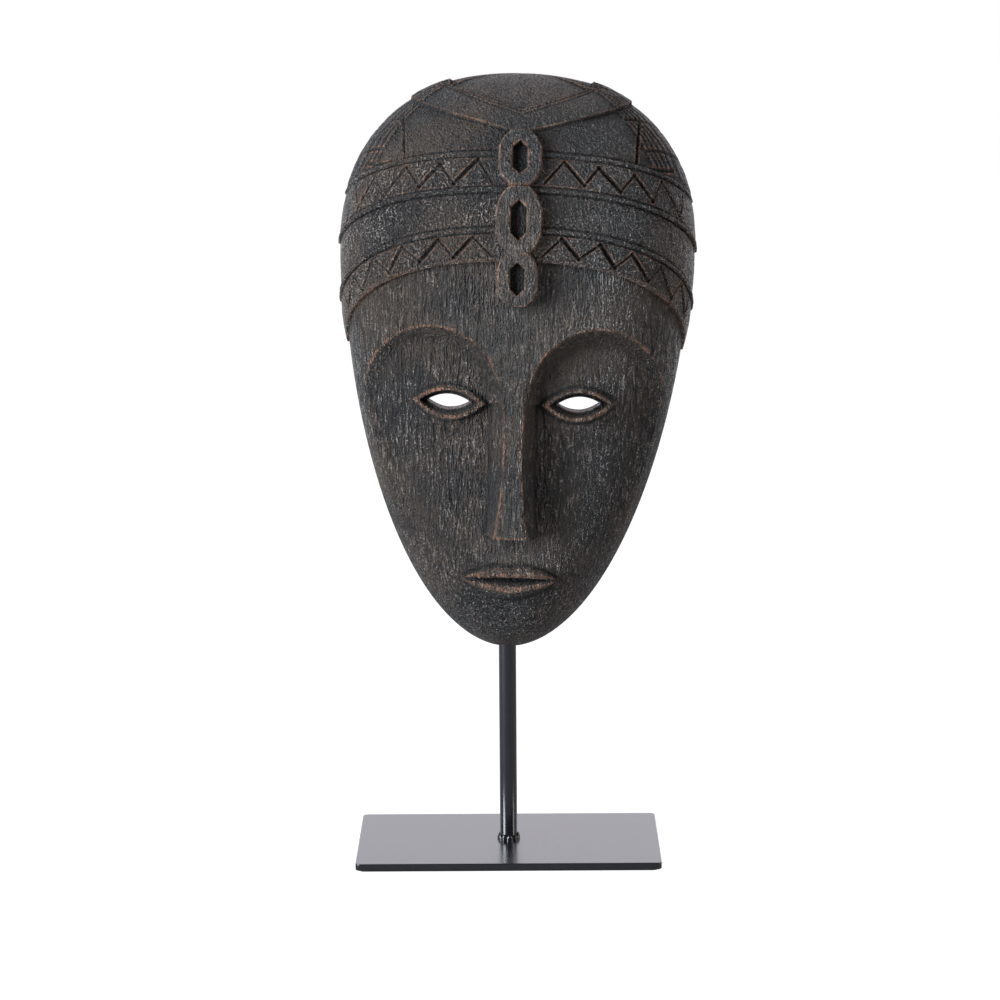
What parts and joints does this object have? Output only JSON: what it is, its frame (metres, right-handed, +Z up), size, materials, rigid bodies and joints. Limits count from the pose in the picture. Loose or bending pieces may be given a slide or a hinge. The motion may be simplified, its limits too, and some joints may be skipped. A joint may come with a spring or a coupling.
{
  "type": "display mask on stand",
  "caption": "Carved dark wooden face mask with a banded head wrap, a forehead chain and pierced eyes, held at the chin on a round post above a flat rectangular plate.",
  "frame": {"origin": "centre of the felt's underside, where the stand rests", "axes": "+Z up along the post, -Y the way the face looks, +X to the face's left"},
  "size_m": [0.2047, 0.1027, 0.4484],
  "materials": {
    "ebonised_wood": "dark stained, brushed along the grain, rubbed brown on the edges",
    "black_coat": "satin black powder coat",
    "felt": "black needled felt",
    "bright_steel": "drawn bright bar",
    "brass": "drawn tube"
  },
  "bodies": {
    "stand": {"base_felt": "felt", "base_plate": "black_coat", "weld_bead": "black_coat", "post_rod": "black_coat", "swivel_pin": "bright_steel"},
    "mask": {"mask_body": "ebonised_wood", "chin_sleeve": "brass"}
  },
  "joints": [
    {"name": "mask_swivel", "type": "hinge", "parent": "stand", "child": "mask", "pos_m": [0, 0, 0.13], "axis": [0, 0, 1], "continuous": true}
  ]
}
